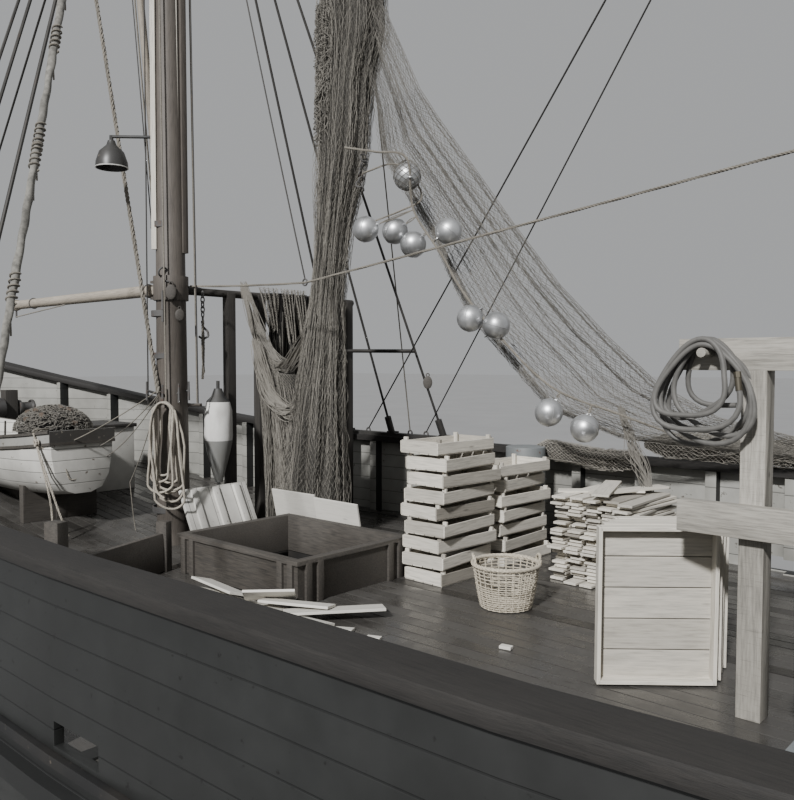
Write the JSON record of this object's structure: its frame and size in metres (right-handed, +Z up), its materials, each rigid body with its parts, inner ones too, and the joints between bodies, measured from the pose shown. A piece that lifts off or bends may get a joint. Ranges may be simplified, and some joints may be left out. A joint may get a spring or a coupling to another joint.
{
  "type": "fishing trawler",
  "caption": "Wooden side-trawling fishing vessel with open fish hatch, mast, booms, hung nets with floats, winch, skiff and wheelhouse aft",
  "frame": {"origin": "on the centreline at the waterline, midway between the ends of the hull", "axes": "+X forward to the bow, +Y to port, +Z up"},
  "size_m": [18.53, 6.01, 13.69],
  "materials": {
    "hull_paint": "semi-matt dark paint over planking, scuffed at the seams",
    "white_paint": "weathered white paint over boards",
    "grey_paint": "worn grey paint on steel",
    "rail_wood": "dark oiled hardwood, worn pale at the edges",
    "deck_planks": "wet dark planking with tarred seams",
    "pale_spar": "weathered pale pine spar",
    "dark_spar": "dark stained pine mast",
    "worn_wood": "worn untreated deck timber",
    "raw_wood": "raw pale softwood",
    "netting": "dry tan twine netting",
    "rope_fibre": "laid natural fibre rope",
    "wicker": "woven cane",
    "hose_rubber": "dull grey rubber hose",
    "wire_rope": "greased steel wire",
    "float_metal": "satin spun metal with a welded seam",
    "worn_steel": "worn bare steel with rust in the corners",
    "bronze": "dull bronze"
  },
  "bodies": {
    "hull": {"hull": "hull_paint", "engine": "grey_paint", "keel": "hull_paint", "deck": "deck_planks", "bulwark_port": "hull_paint", "bulwark_starboard": "hull_paint", "cap_rail": "rail_wood", "mast": "dark_spar", "forestay": "wire_rope", "shrouds_port": "wire_rope", "shrouds_starboard": "wire_rope", "net_rack": "worn_wood", "hatch_coaming": "worn_wood", "hatch_cover": "white_paint", "pound_board": "worn_wood", "skiff": "white_paint", "skiff_chocks": "worn_wood", "skiff_net_heap": "netting", "net_column": "netting", "net_curtain": "netting", "net_wing": "netting", "headline_floats": "float_metal", "fish_boxes_inner": "raw_wood", "fish_boxes_outer": "raw_wood", "board_stack": "raw_wood", "drum": "grey_paint", "fish_basket": "wicker", "timber_frame": "raw_wood", "hose_coil": "hose_rubber", "rope_hank": "rope_fibre", "deck_lamp": "grey_paint", "dan_buoy": "white_paint", "deckhouse": "grey_paint", "wheelhouse_front": "white_paint", "wheelhouse_aft": "white_paint", "wheelhouse_port": "white_paint", "wheelhouse_starboard": "white_paint", "wheelhouse_roof": "white_paint", "funnel": "hull_paint", "mizzen_mast": "pale_spar", "winch_bed": "grey_paint", "windlass_bitts": "worn_wood", "companion": "white_paint", "gallows_port": "worn_steel", "gallows_starboard": "worn_steel", "otter_board_port": "worn_wood", "otter_board_starboard": "worn_wood"},
    "boom": {"boom": "pale_spar"},
    "derrick": {"derrick": "pale_spar"},
    "mizzen_boom": {"mizzen_boom": "pale_spar"},
    "rudder": {"rudder": "hull_paint"},
    "propeller": {"propeller": "bronze"},
    "steering_wheel": {"steering_wheel": "rail_wood"},
    "wheelhouse_door": {"wheelhouse_door": "rail_wood"},
    "companion_lid": {"companion_lid": "rail_wood"},
    "winch_drums": {"winch_drums": "worn_steel"},
    "windlass_barrel": {"windlass_barrel": "worn_steel"}
  },
  "joints": [
    {"name": "rudder_turn", "type": "hinge", "parent": "hull", "child": "rudder", "pos_m": [-7.9, 0, -1.3], "axis": [0, 0, 1], "range_deg": [-35, 35]},
    {"name": "propeller_turn", "type": "hinge", "parent": "hull", "child": "propeller", "pos_m": [-7.4, 0, -1.34], "axis": [1, 0, 0], "continuous": true},
    {"name": "steering_wheel_turn", "type": "hinge", "parent": "hull", "child": "steering_wheel", "pos_m": [-4.79, 0, 2.72], "axis": [1, 0, 0], "range_deg": [-350, 350]},
    {"name": "boom_swing", "type": "hinge", "parent": "hull", "child": "boom", "pos_m": [3.265, 0, 3.52], "axis": [0, 0, 1], "range_deg": [-45, 45]},
    {"name": "derrick_top", "type": "hinge", "parent": "hull", "child": "derrick", "pos_m": [3.265, -0.1, 3.81], "axis": [0, 1, 0], "range_deg": [0, 45]},
    {"name": "mizzen_boom_swing", "type": "hinge", "parent": "hull", "child": "mizzen_boom", "pos_m": [-7.69, 0, 4], "axis": [0, 0, 1], "range_deg": [-30, 30]},
    {"name": "wheelhouse_door_swing", "type": "hinge", "parent": "hull", "child": "wheelhouse_door", "pos_m": [-6.6108, -0.702, 2.65], "axis": [0, 0, 1], "range_deg": [0, 110]},
    {"name": "companion_lid_lift", "type": "hinge", "parent": "hull", "child": "companion_lid", "pos_m": [6.27, -0.65, 1.9503], "axis": [0, 1, 0], "range_deg": [0, 100]},
    {"name": "winch_turn", "type": "hinge", "parent": "hull", "child": "winch_drums", "pos_m": [-3.48, 0, 1.47], "axis": [0, 1, 0], "continuous": true},
    {"name": "windlass_turn", "type": "hinge", "parent": "hull", "child": "windlass_barrel", "pos_m": [7.72, 0, 2.13], "axis": [0, 1, 0], "continuous": true}
  ],
  "couplings": [
    {"joint": "steering_wheel_turn", "follows": "rudder_turn", "ratio": 10}
  ]
}
